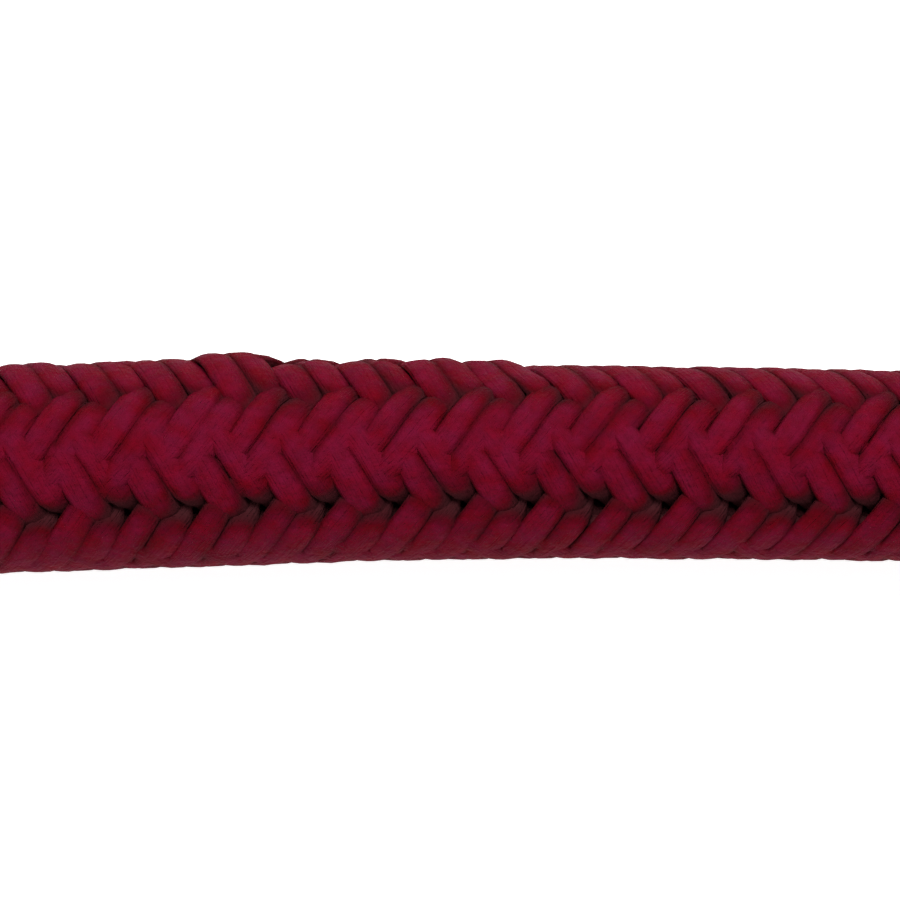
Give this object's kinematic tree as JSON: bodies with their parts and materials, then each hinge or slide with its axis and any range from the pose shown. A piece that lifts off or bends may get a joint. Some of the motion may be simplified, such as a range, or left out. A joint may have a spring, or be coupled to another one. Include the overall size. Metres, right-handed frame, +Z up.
{
  "type": "dock line",
  "caption": "Burgundy double-braid dock line stowed as a flat oval hank, with an eye splice, a whipped and sealed bitter end, and a cinch strap that slides along the hank.",
  "frame": {"origin": "middle of the underside of the whole stowed line, on the surface it lies on", "axes": "+X along the hank's long side, towards the eye and the bitter end; +Z up"},
  "size_m": [0.6192, 0.1422, 0.0317],
  "materials": {
    "rope_cover": "braided nylon, soft sheen",
    "rope_core": "braided nylon",
    "whipping_twine": "waxed twine",
    "fused_tip": "melted nylon",
    "strap_webbing": "woven webbing",
    "strap_tape": "hook-and-loop pile",
    "ring_plastic": "moulded",
    "strap_thread": "sewing thread"
  },
  "bodies": {
    "line": {"hank": "rope_cover", "lead_cover": "rope_cover", "lead_core": "rope_core", "end_whipping": "whipping_twine", "end_tip": "fused_tip", "standing_cover": "rope_cover", "standing_core": "rope_core", "splice_throat": "rope_cover", "throat_whipping": "whipping_twine", "eye_cover": "rope_cover", "eye_core": "rope_core"},
    "strap": {"strap_webbing": "strap_webbing", "strap_loop_tape": "strap_tape", "strap_hook_tape": "strap_tape", "cinch_ring": "ring_plastic", "strap_stitches": "strap_thread"}
  },
  "joints": [
    {"name": "strap_slide", "type": "slide", "parent": "line", "child": "strap", "axis": [1, 0, 0], "range_m": [0, 0.16]}
  ]
}
